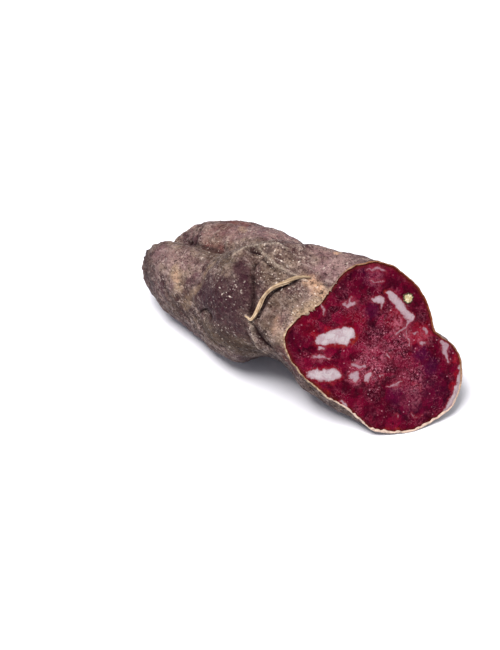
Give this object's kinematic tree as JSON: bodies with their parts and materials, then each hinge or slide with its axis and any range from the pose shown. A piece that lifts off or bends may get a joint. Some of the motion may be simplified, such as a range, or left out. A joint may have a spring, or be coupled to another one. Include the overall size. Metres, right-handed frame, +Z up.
{
  "type": "cured sausage",
  "caption": "Dry-cured sausage in a wrinkled, lobed natural casing, cut across on the slant to show dark red meat marbled with fat.",
  "frame": {"origin": "on the surface it rests on, under the middle of the sausage's bounding box", "axes": "+X along the length, from the two blunt lobes towards the cut end; +Y to the far side as seen in the picture; +Z up"},
  "size_m": [0.1664, 0.0738, 0.0689],
  "materials": {
    "casing": "dry natural gut casing, grey-brown with purple areas and pale mould specks, dull sheen",
    "meat": "cut cured meat, deep burgundy and moist, with coarse pieces of white and pink fat",
    "peppercorn": "cut peppercorn, pale yellow-green inside with a dark wrinkled skin",
    "sinew": "dried strand of casing, cream and fibrous"
  },
  "bodies": {
    "root": {"sausage": "casing"}
  },
  "joints": []
}
